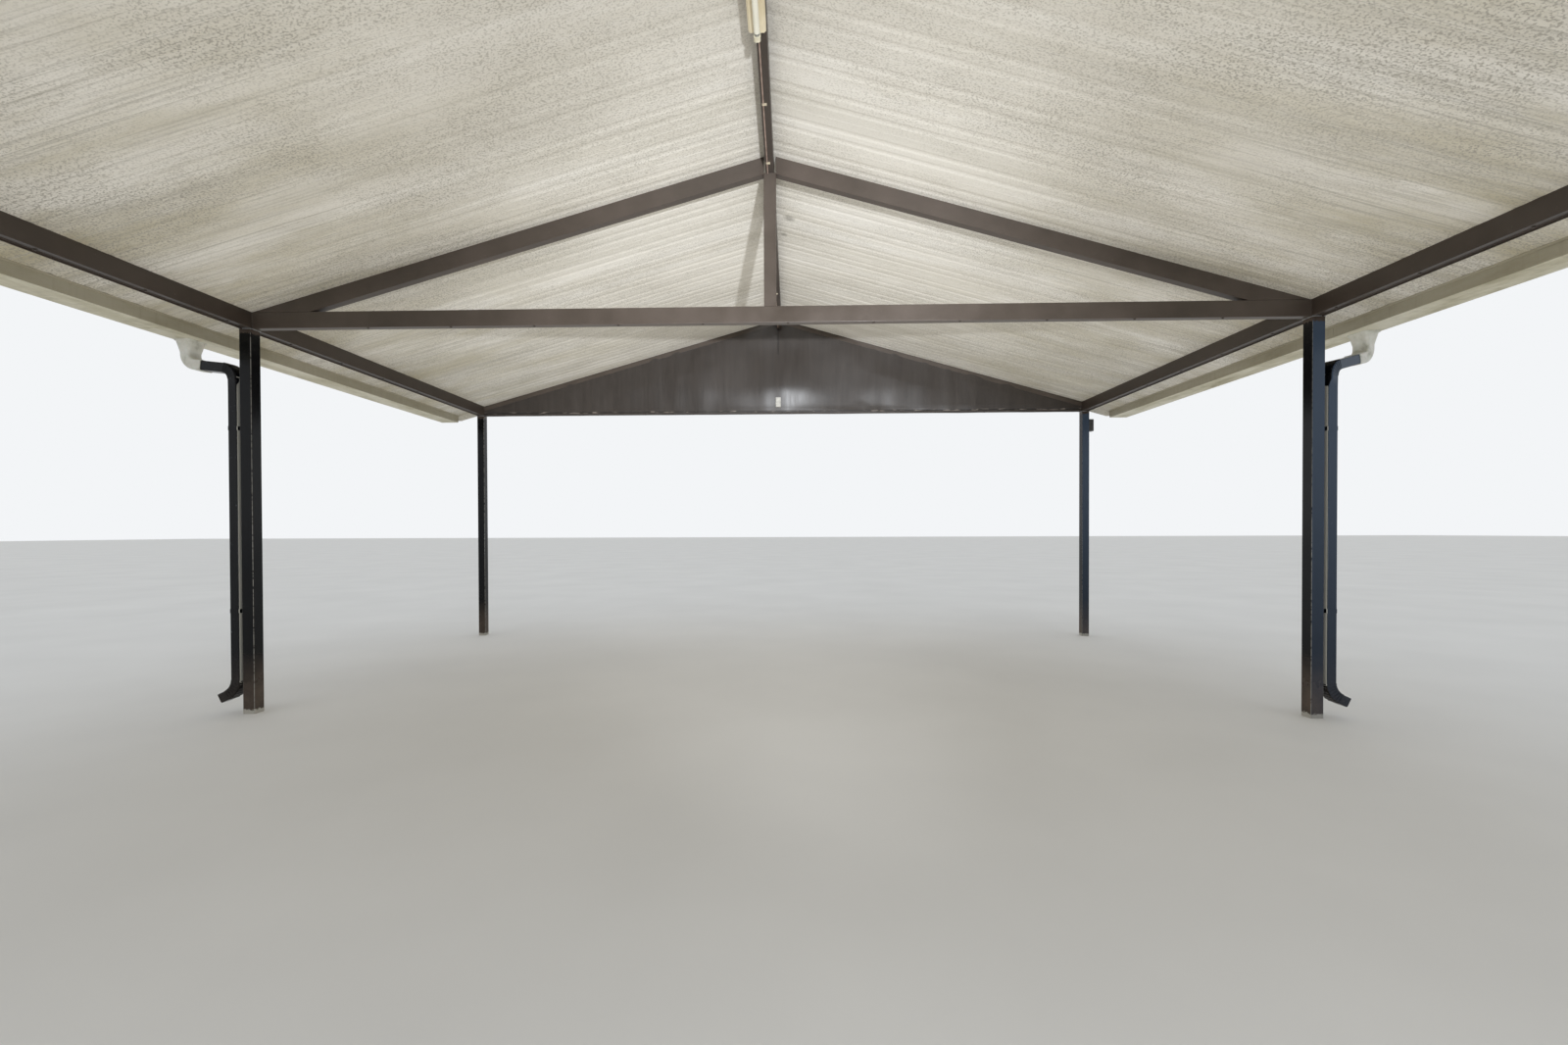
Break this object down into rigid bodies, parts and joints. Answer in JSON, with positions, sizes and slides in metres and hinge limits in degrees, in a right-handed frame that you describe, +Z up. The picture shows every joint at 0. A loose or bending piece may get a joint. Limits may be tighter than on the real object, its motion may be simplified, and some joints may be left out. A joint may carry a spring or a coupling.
{
  "type": "carport",
  "caption": "Freestanding gabled carport: square posts, open king-post truss, closed gable sheets, ribbed pan roof, box gutters, downpipes and a ridge lamp.",
  "frame": {"origin": "on the floor under the middle of the ridge, at the middle truss", "axes": "+X across the ridge to the right seen from the front, +Y along the ridge towards the rear, +Z up"},
  "size_m": [7.5896, 6.102, 3.5124],
  "materials": {
    "post_enamel": "gloss black enamel, worn to pale primer at the feet",
    "frame_enamel": "satin dark brown enamel",
    "gable_enamel": "gloss dark brown enamel",
    "roof_enamel": "cream stucco-embossed enamel",
    "gutter_enamel": "cream enamel, stained",
    "outlet_plastic": "pale grey-white plastic",
    "pipe_enamel": "gloss black enamel",
    "lamp_enamel": "cream enamel",
    "lamp_holder": "cream plastic",
    "lamp_glass": "white coated glass",
    "cable_sheath": "pinkish grey sheath",
    "clip_plastic": "pale plastic",
    "box_plastic": "pale grey plastic",
    "relay_plastic": "dark grey plastic"
  },
  "bodies": {
    "root": {"cable_clips": "clip_plastic", "downpipe_straps": "pipe_enamel", "front_bottom_chord": "frame_enamel", "front_gable_sheet": "gable_enamel", "front_king_post": "frame_enamel", "front_left_post": "post_enamel", "front_right_post": "post_enamel", "front_top_chords": "frame_enamel", "front_verge_trims": "roof_enamel", "gutter_end_caps": "gutter_enamel", "lamp_batten": "lamp_enamel", "lamp_cable": "cable_sheath", "lamp_holders": "lamp_holder", "lamp_tube": "lamp_glass", "left_downpipe": "pipe_enamel", "left_eave_beam": "frame_enamel", "left_foot_elbow": "pipe_enamel", "left_gutter": "gutter_enamel", "left_outlet_elbow": "outlet_plastic", "left_roof_sheet": "roof_enamel", "left_upper_elbow": "pipe_enamel", "middle_bottom_chord": "frame_enamel", "middle_king_post": "frame_enamel", "middle_left_post": "post_enamel", "middle_right_post": "post_enamel", "middle_top_chords": "frame_enamel", "rear_bottom_chord": "frame_enamel", "rear_gable_sheet": "gable_enamel", "rear_king_post": "frame_enamel", "rear_left_post": "post_enamel", "rear_right_post": "post_enamel", "rear_top_chords": "frame_enamel", "rear_verge_trims": "roof_enamel", "relay_box": "relay_plastic", "ridge_beam": "frame_enamel", "ridge_cap": "roof_enamel", "right_downpipe": "pipe_enamel", "right_eave_beam": "frame_enamel", "right_foot_elbow": "pipe_enamel", "right_gutter": "gutter_enamel", "right_outlet_elbow": "outlet_plastic", "right_roof_sheet": "roof_enamel", "right_upper_elbow": "pipe_enamel", "switch_box": "box_plastic"}
  },
  "joints": []
}
